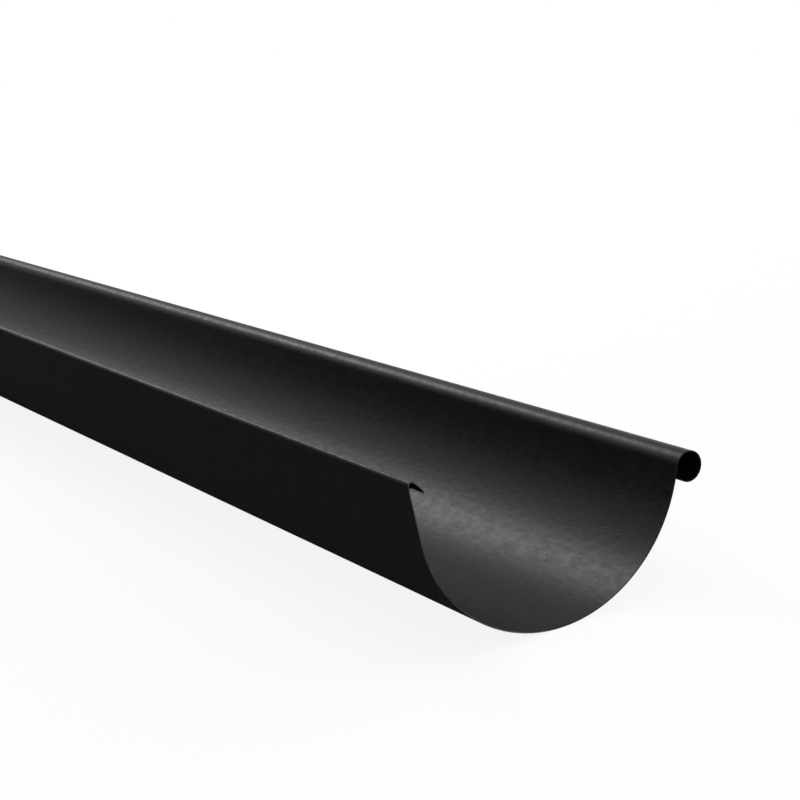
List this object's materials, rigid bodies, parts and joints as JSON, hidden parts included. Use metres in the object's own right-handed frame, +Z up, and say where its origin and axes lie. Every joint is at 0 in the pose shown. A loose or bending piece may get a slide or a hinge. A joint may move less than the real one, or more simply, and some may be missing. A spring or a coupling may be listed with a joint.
{
  "type": "gutter section",
  "caption": "Half-round hanging gutter bent from coated sheet steel, with a rolled front bead and a folded back edge; carries rainwater along the eaves.",
  "frame": {"origin": "on the floor, below the middle of the gutter's length and width as it lies", "axes": "+X from the folded back edge towards the front bead, +Y along the gutter, +Z up"},
  "size_m": [0.1642, 2, 0.0896],
  "materials": {
    "black_coated_steel": "satin black coil coating with a fine grain"
  },
  "bodies": {
    "root": {"gutter": "black_coated_steel"}
  },
  "joints": []
}
